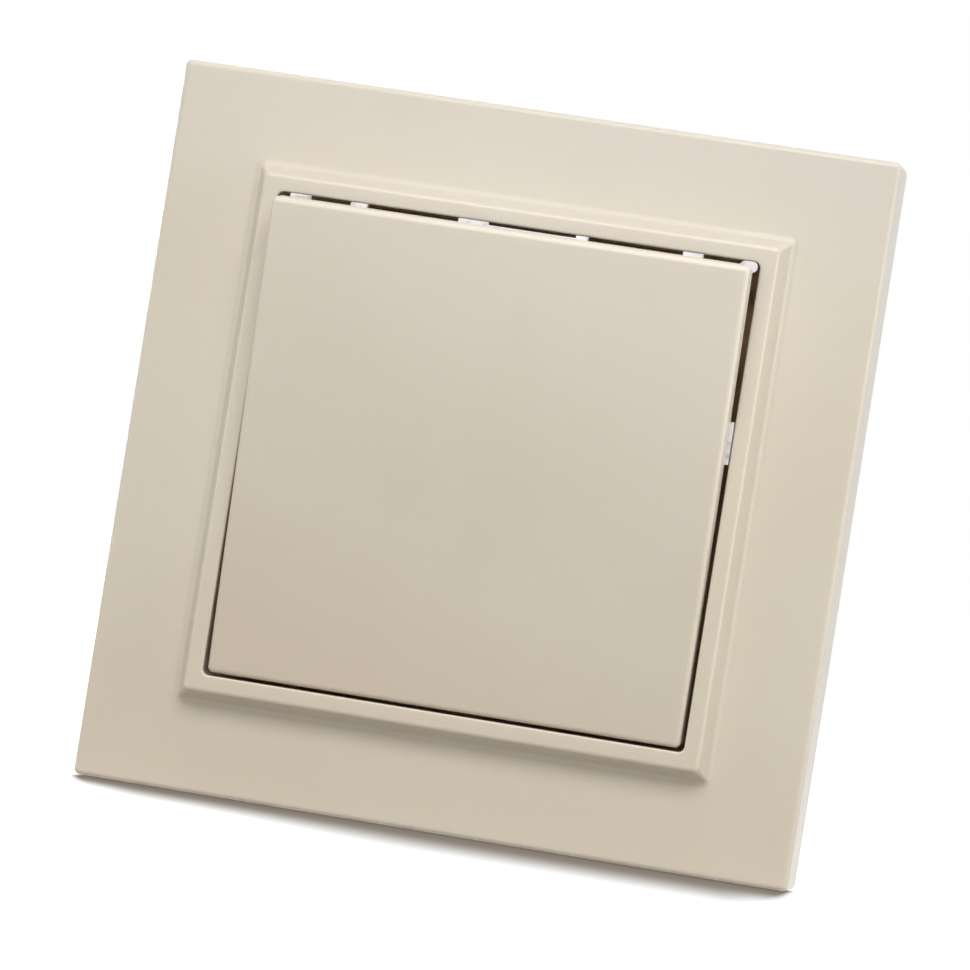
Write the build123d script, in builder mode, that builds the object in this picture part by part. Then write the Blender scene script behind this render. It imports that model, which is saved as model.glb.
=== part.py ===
from build123d import *
import math
import os

# One-gang flush rocker light switch, in millimetres.
# +Z is up and +X is right, both seen from the room. The room is on the -Y side and the wall face is y = 0.
# "Out" means distance from the wall face towards the room, "deep" means distance behind it.

# Cover frame
frame_side = 82.0
frame_corner = 0.8
frame_face_out = 8.5
frame_wall = 2.0
frame_edge_round = 0.6
frame_draft = 1.0
skirt_wall = 1.6
skirt_back_out = 3.4
frame_rib = 1.0
frame_rib_pitch = 22.0
frame_rib_back_out = 2.2

# Raised rim round the opening
rim_wall = 1.83
rim_run = 1.1
rim_rise = 3.2
rim_corner = 0.55
rim_cove = 1.0
rim_crest_round = 0.45
opening_side = 54.82
opening_corner = 0.7

# Rocker key
rocker_gap = 0.46
rocker_corner = 0.8
rocker_edge_round = 0.6
rocker_draft = 1.0
rocker_proud = 2.9
rocker_plate = 1.6
rocker_skirt = 1.5
rocker_skirt_wall = 1.4
rocker_rib = 1.0
rocker_rib_height = 1.4
rocker_rib_x = 20.0
rocker_tilt = 6.0
pivot_out = 11.7

# Toggle cradle, spring and plunger
cradle_width = 25.2
cradle_height = 12.0
cradle_under = 1.4
tray_inset = 0.5
tab_clearance = 0.09
post_window_gap = 0.3
leg_window_gap = 0.15
tab_root = 2.0
ledge_beyond = 0.05
corner_tab = 1.9
corner_tab_drop = 1.2
corner_tab_round = 0.55
end_tab_x = -24.4
end_tab_width = 2.2
left_tab_x = -17.7
left_tab_width = 1.8
middle_tab_x = -4.7
middle_tab_width = 3.3
narrow_tab_x = 7.6
narrow_tab_width = 1.3
right_tab_x = 20.1
right_tab_width = 2.2
side_tab_y = 7.1
side_tab_width = 4.7
trunnion_radius = 1.2
trunnion_length = 3.9
running_clearance = 0.05
barrel_radius = 3.6
barrel_length = 12.6
bore_radius = 2.1
bore_bottom = 3.5
snap_leg_wall = 1.2
snap_leg_width = 8.0
snap_leg_reach = 3.9
snap_nose = 0.6
plunger_tip_radius = 1.6
plunger_body = 8.1
plunger_neck_start = 13.7
tip_clearance = 0.06
spring_wire = 0.3
spring_radius = 1.55
spring_turns = 4.0
spring_sides = 5
spring_seat = 0.1

# Carrier
carrier_gap = 0.05
carrier_base = 1.8
carrier_opening_width = 12.0
carrier_opening_height = 16.0
post_gap = 0.4
post_wall = 3.4
post_height = 5.2
post_above_pivot = 0.6
finger_wall = 0.9
finger_width = 5.0
finger_pitch = 30.0
finger_tip_out = 7.0
latch_out = 4.7
latch_nose = 0.4
latch_clearance = 0.1

# Support strap
strap_gap = 3.5
strap_corner = 4.0
strap_notch = 2.4
strap_thick = 1.2
strap_opening = 22.0
box_screw_spacing = 60.0
box_slot_length = 7.0
box_slot_radius = 1.7

# Housing
housing_width = 26.8
housing_height = 44.0
housing_depth = 20.0
housing_corner = 1.5
flange_margin = 3.0
flange_thick = 3.0
chamber_width = 7.6
chamber_end_wall = 1.7
rear_wall = 1.5
core_gap = 1.2
core_rows = 3
core_floor = 5.0
wire_hole_radius = 1.3
wire_hole_pitch = 2.9
screw_access_clearance = 0.1

# Rivets
rivet_side_gap = 0.4
rivet_end_margin = 4.0
rivet_radius = 1.2
rivet_head_radius = 2.2
rivet_head = 0.9

# Contact blade and contacts
fulcrum_from_rear = 10.4
fulcrum_radius = 0.75
blade_width = 5.0
blade_thick = 0.8
blade_up = 7.0
blade_down = 8.6
contact_z = -7.0
contact_radius = 1.4
contact_thick = 0.8
fixed_contact_from_rear = 9.5

# Terminal strips
strip_thick = 1.0
common_strip_end = -3.0
switched_strip_end = -5.0
screw_free_length = 0.7
strip_tongue_width = 4.4
strip_tongue_spare = 0.4

# Clamp cages and their screws
cage_wall = 1.0
cage_width = 6.8
cage_window_width = 4.8
cage_gap = 0.3
cage_depth = 4.6
cage_height = 7.2
cage_travel = 1.8
clamp_screw_radius = 1.25
clamp_head_radius = 2.3
clamp_head = 1.5
clamp_head_recess = 0.45
head_clearance = 0.05
driver_slot = 0.7
driver_slot_depth = 0.8

# Spreading claws
claw_pin_x = 26.0
claw_pin_deep = 14.0
claw_pin_radius = 0.9
claw_barrel_radius = 1.8
claw_width = 9.2
claw_plate = 1.1
claw_arm_x = 27.2
claw_front_deep = 3.5
claw_tooth = 0.7
claw_teeth = 3
claw_tooth_depth = 1.2
claw_foot_x = 19.6
claw_foot_rear = 0.7
claw_slot_clearance = 0.25
leg_gap = 0.6
leg_thick = 1.2
leg_width = 5.0
leg_deep = 16.6
claw_screw_x = 22.0
claw_screw_radius = 1.5
claw_screw_deep = 18.0
claw_head_radius = 2.75
claw_head = 1.8
claw_head_clearance = 0.45
strap_hole_clearance = 0.1
nut_width = 4.0
nut_height = 6.0
nut_thick = 2.2

# Sizes that follow from the ones above
opening_half = opening_side / 2
rim_crest_side = opening_side + 2 * rim_wall
rim_foot_side = rim_crest_side + 2 * rim_run
rim_crest_out = frame_face_out + rim_rise
rim_taper = math.degrees(math.atan2(rim_run, rim_rise))
frame_cavity_side = frame_side - 2 * frame_wall
skirt_side = opening_side + 2 * skirt_wall + 2 * latch_nose
rocker_side = opening_side - 2 * rocker_gap
rocker_face = rim_crest_out + rocker_proud - pivot_out
rocker_under = rocker_face - rocker_plate
rocker_skirt_end = rocker_under - rocker_skirt
carrier_side = opening_side - 2 * carrier_gap
carrier_front_out = strap_thick + carrier_base
finger_in = carrier_side / 2
finger_out = finger_in + finger_wall
tray_side = rocker_side - 2 * tray_inset
tab_reach = opening_half - tab_clearance
fulcrum_deep = housing_depth - fulcrum_from_rear
fixed_contact_deep = housing_depth - fixed_contact_from_rear
blade_offset = fulcrum_radius + running_clearance
blade_front = blade_offset + blade_thick
tip_centre = pivot_out + fulcrum_deep - blade_front - plunger_tip_radius - tip_clearance
strap_side = frame_cavity_side - 2 * strap_gap
rivet_x = housing_width / 2 + rivet_head_radius + rivet_side_gap
rivet_z = housing_height / 2 - rivet_end_margin
flange_width = 2 * (rivet_x + flange_margin)
chamber_half_height = housing_height / 2 - chamber_end_wall
clamp_head_z = housing_height / 2 - clamp_head_recess - clamp_head
cage_outer_z = clamp_head_z - head_clearance - cage_travel
cage_inner_z = cage_outer_z - cage_height
strip_bend_z = cage_outer_z - cage_wall - screw_free_length
strip_inner_z = strip_bend_z - strip_thick
switched_deep = fixed_contact_deep + contact_thick
cage_front_deep = switched_deep + strip_thick + cage_gap
strip_tongue_deep = cage_front_deep + cage_depth + strip_tongue_spare
cage_middle_deep = cage_front_deep + cage_depth / 2
wire_z = (cage_inner_z + cage_wall + strip_inner_z) / 2
leg_inner_z = claw_width / 2 + leg_gap

# Tabs along the upper and lower edge of the rocker's tray: place, width
end_tabs = [
    (end_tab_x, end_tab_width),
    (left_tab_x, left_tab_width),
    (middle_tab_x, middle_tab_width),
    (narrow_tab_x, narrow_tab_width),
    (right_tab_x, right_tab_width),
]

# Planes: the wall face, and the tilted faces of the rocker and of the contact blade
OUT = Axis((0, 0, 0), (0, -1, 0))
WALL = Plane(origin=(0, 0, 0), x_dir=(1, 0, 0), z_dir=(0, -1, 0))
tilt_cos = math.cos(math.radians(rocker_tilt))
tilt_sin = math.sin(math.radians(rocker_tilt))
ROCK = Plane(origin=(0, -pivot_out, 0), x_dir=(1, 0, 0), z_dir=(0, -tilt_cos, -tilt_sin))
BLADE = Plane(origin=(0, fulcrum_deep, 0), x_dir=(1, 0, 0), z_dir=(0, -tilt_cos, tilt_sin))
SIDE = Plane(origin=(0, 0, 0), x_dir=(0, 1, 0), z_dir=(1, 0, 0))
LEVEL = Plane(origin=(0, 0, 0), x_dir=(1, 0, 0), z_dir=(0, 0, 1))


def finger_plane(turn, along):
    # Cross-section plane of a finger: x points away from the opening's centre, y points out of the wall
    away = (-math.sin(math.radians(turn)), 0, math.cos(math.radians(turn)))
    side = (math.cos(math.radians(turn)), 0, math.sin(math.radians(turn)))
    return Plane(origin=(side[0] * along, 0, side[2] * along), x_dir=away, z_dir=side)


# Two latch fingers on each side of the opening: turn from the upper side, place along it
fingers = [(turn, along) for turn in (0, 90, 180, 270) for along in (-finger_pitch / 2, finger_pitch / 2)]

# Cover frame: drafted square shell with a raised, coved rim and a skirt that the fingers latch into
with BuildPart() as cover_frame:
    with BuildSketch(WALL):
        RectangleRounded(frame_side, frame_side, frame_corner)
    extrude(amount=frame_face_out, taper=frame_draft)
    front = cover_frame.faces().sort_by(OUT)[-1]
    fillet(front.outer_wire().edges(), frame_edge_round)
    with BuildSketch(WALL.offset(frame_face_out)):
        RectangleRounded(rim_foot_side, rim_foot_side, rim_corner + rim_run)
    extrude(amount=rim_rise, taper=rim_taper)
    flat = cover_frame.faces().filter_by(Axis.Y).sort_by(OUT)[-2]
    fillet(flat.inner_wires()[0].edges(), rim_cove)
    with BuildSketch(WALL):
        RectangleRounded(frame_cavity_side, frame_cavity_side, frame_corner / 2)
    extrude(amount=frame_face_out - frame_wall, mode=Mode.SUBTRACT)
    with BuildSketch(WALL.offset(skirt_back_out)):
        RectangleRounded(skirt_side, skirt_side, opening_corner + skirt_wall)
    extrude(amount=frame_face_out - skirt_back_out)
    with BuildSketch(WALL.offset(frame_rib_back_out)):
        with GridLocations(frame_rib_pitch, 0, 3, 1):
            Rectangle(frame_rib, frame_cavity_side)
        with GridLocations(0, frame_rib_pitch, 1, 3):
            Rectangle(frame_cavity_side, frame_rib)
        Rectangle(skirt_side - skirt_wall, skirt_side - skirt_wall, mode=Mode.SUBTRACT)
    extrude(amount=frame_face_out - frame_wall - frame_rib_back_out)
    with BuildSketch(WALL):
        RectangleRounded(opening_side, opening_side, opening_corner)
    extrude(amount=rim_crest_out, mode=Mode.SUBTRACT)
    crest = cover_frame.faces().filter_by(Axis.Y).sort_by(OUT)[-1]
    fillet(crest.outer_wire().edges(), rim_crest_round)
    for turn, along in fingers:
        with BuildSketch(finger_plane(turn, along)):
            with BuildLine():
                Polyline(
                    (opening_half - latch_clearance, skirt_back_out - latch_clearance),
                    (finger_out + latch_clearance, skirt_back_out - latch_clearance),
                    (finger_out + latch_clearance, latch_out - latch_clearance),
                    (finger_out + latch_nose + latch_clearance, latch_out - latch_clearance),
                    (finger_out + latch_nose + latch_clearance, latch_out + 2 * latch_nose + latch_clearance),
                    (finger_out + latch_clearance, latch_out + 3 * latch_nose + latch_clearance),
                    (finger_out + latch_clearance, finger_tip_out + latch_clearance),
                    (opening_half - latch_clearance, finger_tip_out + latch_clearance),
                    close=True,
                )
            make_face()
        extrude(amount=finger_width / 2 + latch_clearance, both=True, mode=Mode.SUBTRACT)

# Rocker key: drafted plate with a skirt, and two snap legs that grip the cradle
with BuildPart() as rocker_key:
    with BuildSketch(ROCK.offset(rocker_skirt_end)):
        RectangleRounded(rocker_side, rocker_side, rocker_corner)
    extrude(amount=rocker_face - rocker_skirt_end, taper=rocker_draft)
    front = rocker_key.faces().sort_by(Axis((0, 0, 0), ROCK.z_dir))[-1]
    fillet(front.edges(), rocker_edge_round)
    with BuildSketch(ROCK.offset(rocker_skirt_end)):
        Rectangle(rocker_side - 2 * rocker_skirt_wall, rocker_side - 2 * rocker_skirt_wall)
    extrude(amount=rocker_skirt, mode=Mode.SUBTRACT)
    with BuildSketch(ROCK.offset(rocker_under - rocker_rib_height)):
        with GridLocations(2 * rocker_rib_x, 0, 2, 1):
            Rectangle(rocker_rib, rocker_side - rocker_skirt_wall)
    extrude(amount=rocker_rib_height)
    for end in (-1, 1):
        with BuildSketch(Plane(origin=ROCK.origin, x_dir=ROCK.y_dir * end, z_dir=ROCK.x_dir * end)):
            with BuildLine():
                Polyline(
                    (cradle_height / 2, rocker_under),
                    (cradle_height / 2, -cradle_under),
                    (cradle_height / 2 - snap_nose, -cradle_under),
                    (cradle_height / 2, rocker_under - snap_leg_reach),
                    (cradle_height / 2 + snap_leg_wall, rocker_under - snap_leg_reach),
                    (cradle_height / 2 + snap_leg_wall, rocker_under),
                    close=True,
                )
            make_face()
        extrude(amount=snap_leg_width / 2, both=True)

# Cradle: tray under the rocker key whose tabs show in the gap, trunnions on the tilt axis, and a barrel
with BuildPart() as cradle:
    with BuildSketch(ROCK.offset(-cradle_under)):
        RectangleRounded(tray_side, tray_side, rocker_corner)
        for along, width in end_tabs:
            with GridLocations(0, 2 * tab_reach - tab_root, 1, 2):
                with Locations((along, 0)):
                    Rectangle(width, tab_root)
        with GridLocations(2 * tab_reach - tab_root, 0, 2, 1):
            with Locations((0, side_tab_y)):
                Rectangle(tab_root, side_tab_width)
        ledge_reach = rocker_side / 2 + ledge_beyond
        ledge_width = narrow_tab_x - middle_tab_x
        with Locations(((narrow_tab_x + middle_tab_x) / 2, ledge_reach - tab_root / 2)):
            Rectangle(ledge_width, tab_root)
        with Locations((tab_reach - corner_tab / 2, tab_reach - corner_tab_drop / 2)):
            RectangleRounded(corner_tab, corner_tab_drop, corner_tab_round)
        post_window = post_gap + post_wall + post_window_gap
        with GridLocations(cradle_width + post_window, 0, 2, 1):
            Rectangle(post_window, post_height + 4 * post_window_gap, mode=Mode.SUBTRACT)
        leg_window = snap_leg_wall + leg_window_gap
        with GridLocations(0, cradle_height + leg_window, 1, 2):
            Rectangle(snap_leg_width + 2 * leg_window_gap, leg_window, mode=Mode.SUBTRACT)
    extrude(amount=cradle_under + rocker_skirt_end)
    with BuildSketch(ROCK.offset(-cradle_under)):
        RectangleRounded(cradle_width, cradle_height, rocker_corner)
    extrude(amount=cradle_under + rocker_under)
    with BuildSketch(Plane(origin=ROCK.origin, x_dir=ROCK.y_dir, z_dir=ROCK.x_dir)):
        Circle(trunnion_radius)
    extrude(amount=cradle_width / 2 + trunnion_length, both=True)
    with BuildSketch(ROCK.offset(-cradle_under)):
        Circle(barrel_radius)
    extrude(amount=cradle_under - barrel_length)
    with BuildSketch(ROCK.offset(-barrel_length)):
        Circle(bore_radius)
    extrude(amount=barrel_length - bore_bottom, mode=Mode.SUBTRACT)

# Plunger: guided body, neck and round tip, turned about the barrel's axis
with BuildPart() as plunger:
    with BuildSketch(Plane(origin=ROCK.origin, x_dir=ROCK.x_dir, z_dir=ROCK.y_dir)):
        with BuildLine():
            Polyline(
                (0, plunger_body),
                (bore_radius - running_clearance, plunger_body),
                (bore_radius - running_clearance, plunger_neck_start),
                (plunger_tip_radius, plunger_neck_start),
                (plunger_tip_radius, tip_centre),
            )
            RadiusArc((plunger_tip_radius, tip_centre), (0, tip_centre + plunger_tip_radius), -plunger_tip_radius)
            Line((0, tip_centre + plunger_tip_radius), (0, plunger_body))
        make_face()
    revolve(axis=Axis(ROCK.origin, ROCK.z_dir))

# Toggle spring: a helix between the bore's bottom and the plunger
spring_start = bore_bottom + spring_seat + spring_wire
spring_height = plunger_body - bore_bottom - 2 * (spring_seat + spring_wire)
with BuildPart() as toggle_spring:
    with BuildLine() as coil:
        Helix(
            pitch=spring_height / spring_turns,
            height=spring_height,
            radius=spring_radius,
            center=ROCK.from_local_coords((0, 0, -spring_start)),
            direction=-ROCK.z_dir,
        )
    with BuildSketch(Plane(origin=coil.line @ 0, z_dir=coil.line % 0)):
        RegularPolygon(spring_wire, spring_sides)
    sweep(path=coil.line, is_frenet=True)

# Carrier: base plate that closes the frame's opening, bearing posts with snap-in bores, and latch fingers
with BuildPart() as carrier:
    with BuildSketch(WALL.offset(strap_thick)):
        RectangleRounded(carrier_side, carrier_side, opening_corner)
        Rectangle(carrier_opening_width, carrier_opening_height, mode=Mode.SUBTRACT)
        with Locations((-claw_screw_x, 0), (claw_screw_x, 0)):
            Circle(claw_head_radius + claw_head_clearance, mode=Mode.SUBTRACT)
        with GridLocations(2 * rivet_x, 2 * rivet_z, 2, 2):
            Circle(rivet_radius, mode=Mode.SUBTRACT)
    extrude(amount=carrier_base)
    post_x = cradle_width / 2 + post_gap + post_wall / 2
    with BuildSketch(WALL.offset(carrier_front_out)):
        with Locations((-post_x, 0), (post_x, 0)):
            Rectangle(post_wall, post_height)
    extrude(amount=pivot_out + post_above_pivot - carrier_front_out)
    with BuildSketch(Plane(origin=ROCK.origin, x_dir=(0, 0, 1), z_dir=(1, 0, 0))):
        Circle(trunnion_radius + running_clearance)
    extrude(amount=carrier_side / 2, both=True, mode=Mode.SUBTRACT)
    for turn, along in fingers:
        with BuildSketch(finger_plane(turn, along)):
            with BuildLine():
                Polyline(
                    (carrier_side / 2 - carrier_base, strap_thick),
                    (finger_out, strap_thick),
                    (finger_out, latch_out),
                    (finger_out + latch_nose, latch_out),
                    (finger_out, latch_out + 2 * latch_nose),
                    (finger_out, finger_tip_out - latch_nose),
                    (finger_out - latch_nose, finger_tip_out),
                    (finger_in, finger_tip_out),
                    (finger_in, carrier_front_out),
                    (carrier_side / 2 - carrier_base, carrier_front_out),
                    close=True,
                )
            make_face()
        extrude(amount=finger_width / 2, both=True)

# Support strap: flat steel plate with slots for the box screws and bent legs for the claw pins
with BuildPart() as support_strap:
    with BuildSketch(WALL):
        RectangleRounded(strap_side, strap_side, strap_corner)
        Rectangle(strap_opening, strap_opening, mode=Mode.SUBTRACT)
        with GridLocations(box_screw_spacing, 0, 2, 1):
            SlotOverall(box_slot_length, 2 * box_slot_radius, mode=Mode.SUBTRACT)
        with GridLocations(0, box_screw_spacing, 1, 2):
            SlotOverall(box_slot_length, 2 * box_slot_radius, rotation=90, mode=Mode.SUBTRACT)
        with GridLocations(2 * claw_screw_x, 0, 2, 1):
            Circle(claw_screw_radius + strap_hole_clearance, mode=Mode.SUBTRACT)
        with PolarLocations(strap_side / 2, 4):
            Rectangle(strap_notch / math.sqrt(2), strap_notch / math.sqrt(2), rotation=45, mode=Mode.SUBTRACT)
        with GridLocations(2 * rivet_x, 2 * rivet_z, 2, 2):
            Circle(rivet_radius, mode=Mode.SUBTRACT)
    extrude(amount=strap_thick)
    with BuildSketch(WALL):
        with GridLocations(2 * claw_pin_x, 2 * leg_inner_z + leg_thick, 2, 2):
            Rectangle(leg_width, leg_thick)
    extrude(amount=-leg_deep)
    with BuildSketch(LEVEL):
        with GridLocations(2 * claw_pin_x, 0, 2, 1):
            with Locations((0, claw_pin_deep)):
                Circle(claw_pin_radius)
    extrude(amount=leg_inner_z + leg_thick, both=True, mode=Mode.SUBTRACT)

# Housing: flange under the strap, and a body with the contact chamber, cored sides, wire and screw holes
with BuildPart() as housing:
    with BuildSketch(WALL):
        RectangleRounded(flange_width, housing_height, housing_corner)
        with GridLocations(2 * rivet_x, 2 * rivet_z, 2, 2):
            Circle(rivet_radius, mode=Mode.SUBTRACT)
    extrude(amount=-flange_thick)
    with BuildSketch(WALL.offset(-flange_thick)):
        RectangleRounded(housing_width, housing_height, housing_corner)
    extrude(amount=flange_thick - housing_depth)
    rear = housing.faces().sort_by(OUT)[0]
    chamfer(rear.edges(), housing_corner / 2)
    with BuildSketch(WALL):
        Rectangle(chamber_width, 2 * chamber_half_height)
    extrude(amount=rear_wall - housing_depth, mode=Mode.SUBTRACT)
    core_width = (housing_width - chamber_width) / 2 - 2 * core_gap
    core_height = (housing_height - (core_rows + 1) * core_gap) / core_rows
    with BuildSketch(WALL.offset(-housing_depth)):
        with GridLocations(chamber_width + 2 * core_gap + core_width, core_height + core_gap, 2, core_rows):
            Rectangle(core_width, core_height)
    extrude(amount=housing_depth - core_floor, mode=Mode.SUBTRACT)
    with BuildSketch(WALL.offset(-housing_depth)):
        with GridLocations(wire_hole_pitch, 2 * wire_z, 2, 2):
            Circle(wire_hole_radius)
    extrude(amount=2 * rear_wall, mode=Mode.SUBTRACT)
    with BuildSketch(LEVEL):
        with Locations((0, cage_middle_deep)):
            Circle(clamp_head_radius + screw_access_clearance)
    extrude(amount=housing_height, both=True, mode=Mode.SUBTRACT)

# Rivets: four rivets through carrier, strap and flange
with BuildPart() as rivets:
    with BuildSketch(WALL.offset(-flange_thick)):
        with GridLocations(2 * rivet_x, 2 * rivet_z, 2, 2):
            Circle(rivet_radius)
    extrude(amount=flange_thick + carrier_front_out)
    for seat_out, head_height in ((carrier_front_out, rivet_head), (-flange_thick, -rivet_head)):
        with BuildSketch(WALL.offset(seat_out)):
            with GridLocations(2 * rivet_x, 2 * rivet_z, 2, 2):
                Circle(rivet_head_radius)
        extrude(amount=head_height)

# Contact blade: rocks on the ridge of the common strip
with BuildPart() as contact_blade:
    with BuildSketch(BLADE.offset(blade_offset)):
        with Locations((0, (blade_up - blade_down) / 2)):
            SlotOverall(blade_up + blade_down, blade_width, rotation=90)
    extrude(amount=blade_thick)

# Contact rivet on the blade, facing the rear
with BuildPart() as moving_contact:
    with BuildSketch(BLADE.offset(blade_offset)):
        with Locations((0, contact_z)):
            Circle(contact_radius)
    extrude(amount=-contact_thick)

# Common terminal strip: bent strip with the ridge that the blade rocks on
with BuildPart() as common_terminal:
    with BuildSketch(SIDE):
        with BuildLine():
            Polyline(
                (fulcrum_deep, common_strip_end),
                (fulcrum_deep, strip_bend_z),
                (fulcrum_deep + strip_thick, strip_bend_z),
                (fulcrum_deep + strip_thick, common_strip_end),
                close=True,
            )
        make_face()
    extrude(amount=chamber_width / 2, both=True)
    with BuildSketch(SIDE):
        with Locations((fulcrum_deep, 0)):
            Circle(fulcrum_radius)
    extrude(amount=blade_width / 2, both=True)
    with BuildSketch(LEVEL.offset(strip_inner_z)):
        with Locations((0, (fulcrum_deep + strip_tongue_deep) / 2)):
            Rectangle(strip_tongue_width, strip_tongue_deep - fulcrum_deep)
    extrude(amount=strip_thick)

# Switched terminal strip: lies deeper, so that the contacts stand open at rest
with BuildPart() as switched_terminal:
    with BuildSketch(WALL.offset(-switched_deep)):
        with Locations((0, (switched_strip_end - strip_bend_z) / 2)):
            Rectangle(chamber_width, switched_strip_end + strip_bend_z)
    extrude(amount=-strip_thick)
    with BuildSketch(LEVEL.offset(-strip_bend_z)):
        with Locations((0, (switched_deep + strip_tongue_deep) / 2)):
            Rectangle(strip_tongue_width, strip_tongue_deep - switched_deep)
    extrude(amount=strip_thick)

# Contact rivet on the switched strip, facing the room
with BuildPart() as fixed_contact:
    with BuildSketch(WALL.offset(-switched_deep)):
        with Locations((0, contact_z)):
            Circle(contact_radius)
    extrude(amount=contact_thick)

named_parts = {
    "cover_frame": cover_frame,
    "rocker_key": rocker_key,
    "cradle": cradle,
    "plunger": plunger,
    "toggle_spring": toggle_spring,
    "carrier": carrier,
    "support_strap": support_strap,
    "housing": housing,
    "rivets": rivets,
    "contact_blade": contact_blade,
    "moving_contact": moving_contact,
    "common_terminal": common_terminal,
    "switched_terminal": switched_terminal,
    "fixed_contact": fixed_contact,
}

# Rising clamp cages and their screws, one pair at the upper end and one at the lower end
for name, end in (("common", 1), ("switched", -1)):
    with BuildPart() as clamp_cage:
        with BuildSketch(WALL.offset(-cage_front_deep)):
            with Locations((0, end * (cage_inner_z + cage_outer_z) / 2)):
                Rectangle(cage_width, cage_outer_z - cage_inner_z)
                Rectangle(cage_window_width, cage_outer_z - cage_inner_z - 2 * cage_wall, mode=Mode.SUBTRACT)
        extrude(amount=-cage_depth)
        with BuildSketch(LEVEL.offset(end * strip_bend_z)):
            with Locations((0, cage_middle_deep)):
                Circle(clamp_screw_radius + running_clearance)
        extrude(amount=end * cage_outer_z, mode=Mode.SUBTRACT)
    named_parts["clamp_cage_" + name] = clamp_cage
    with BuildPart() as terminal_screw:
        with BuildSketch(LEVEL.offset(end * strip_bend_z)):
            with Locations((0, cage_middle_deep)):
                Circle(clamp_screw_radius)
        extrude(amount=end * (clamp_head_z - strip_bend_z))
        with BuildSketch(LEVEL.offset(end * clamp_head_z)):
            with Locations((0, cage_middle_deep)):
                Circle(clamp_head_radius)
        extrude(amount=end * clamp_head)
        with BuildSketch(LEVEL.offset(end * (clamp_head_z + clamp_head))):
            with Locations((0, cage_middle_deep)):
                Rectangle(2 * clamp_head_radius, driver_slot)
        extrude(amount=-end * driver_slot_depth, mode=Mode.SUBTRACT)
    named_parts["terminal_screw_" + name] = terminal_screw

# Spreading claws with pin, screw and nut, one set on each side
for name, end in (("left", -1), ("right", 1)):
    with BuildPart() as claw:
        with BuildSketch(LEVEL):
            with BuildLine():
                Polyline(
                    (end * claw_pin_x, claw_pin_deep + claw_foot_rear),
                    (end * claw_foot_x, claw_pin_deep + claw_foot_rear),
                    (end * claw_foot_x, claw_pin_deep + claw_foot_rear - claw_plate),
                    (end * (claw_arm_x - claw_plate), claw_pin_deep + claw_foot_rear - claw_plate),
                    (end * (claw_arm_x - claw_plate), claw_front_deep),
                    (end * (claw_arm_x + claw_tooth), claw_front_deep),
                    (end * claw_arm_x, claw_front_deep + 2 * claw_tooth),
                    (end * claw_arm_x, claw_pin_deep),
                    close=True,
                )
            make_face()
            with Locations((end * claw_pin_x, claw_pin_deep)):
                Circle(claw_barrel_radius)
                Circle(claw_pin_radius + running_clearance, mode=Mode.SUBTRACT)
        extrude(amount=claw_width / 2, both=True)
        slot_half = claw_screw_radius + claw_slot_clearance
        with BuildSketch(WALL):
            with Locations((end * claw_screw_x, 0)):
                Circle(slot_half)
            with Locations((end * (claw_screw_x + claw_foot_x) / 2, 0)):
                Rectangle(claw_screw_x - claw_foot_x, 2 * slot_half)
        extrude(amount=-claw_screw_deep, mode=Mode.SUBTRACT)
        tooth_pitch = claw_width / claw_teeth
        with BuildSketch(SIDE.offset(end * claw_pin_x)):
            with GridLocations(0, tooth_pitch, 1, claw_teeth - 1):
                with Locations((claw_front_deep, 0)):
                    Rectangle(claw_tooth_depth, claw_tooth_depth, rotation=45)
        extrude(amount=end * (claw_arm_x + claw_tooth - claw_pin_x), mode=Mode.SUBTRACT)
    named_parts["claw_" + name] = claw
    with BuildPart() as claw_pin:
        with BuildSketch(LEVEL):
            with Locations((end * claw_pin_x, claw_pin_deep)):
                Circle(claw_pin_radius)
        extrude(amount=leg_inner_z + leg_thick, both=True)
    named_parts["claw_pin_" + name] = claw_pin
    with BuildPart() as claw_nut:
        with BuildSketch(WALL.offset(-claw_pin_deep - claw_foot_rear)):
            with Locations((end * claw_screw_x, 0)):
                Rectangle(nut_width, nut_height)
                Circle(claw_screw_radius + running_clearance, mode=Mode.SUBTRACT)
        extrude(amount=-nut_thick)
    named_parts["claw_nut_" + name] = claw_nut
    with BuildPart() as claw_screw:
        with BuildSketch(WALL.offset(strap_thick)):
            with Locations((end * claw_screw_x, 0)):
                Circle(claw_head_radius)
        extrude(amount=claw_head)
        with BuildSketch(WALL.offset(strap_thick)):
            with Locations((end * claw_screw_x, 0)):
                Circle(claw_screw_radius)
        extrude(amount=-strap_thick - claw_screw_deep)
        with BuildSketch(WALL.offset(strap_thick + claw_head)):
            with Locations((end * claw_screw_x, 0)):
                Rectangle(2 * claw_head_radius, driver_slot)
                Rectangle(driver_slot, 2 * claw_head_radius)
        extrude(amount=-driver_slot_depth, mode=Mode.SUBTRACT)
    named_parts["claw_screw_" + name] = claw_screw

os.makedirs("parts", exist_ok=True)
for name, built in named_parts.items():
    built.part.label = name
    export_step(built.part, "parts/" + name + ".step")
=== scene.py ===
import math
import bpy
import bmesh
import numpy as np
from mathutils import Matrix, Vector


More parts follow.
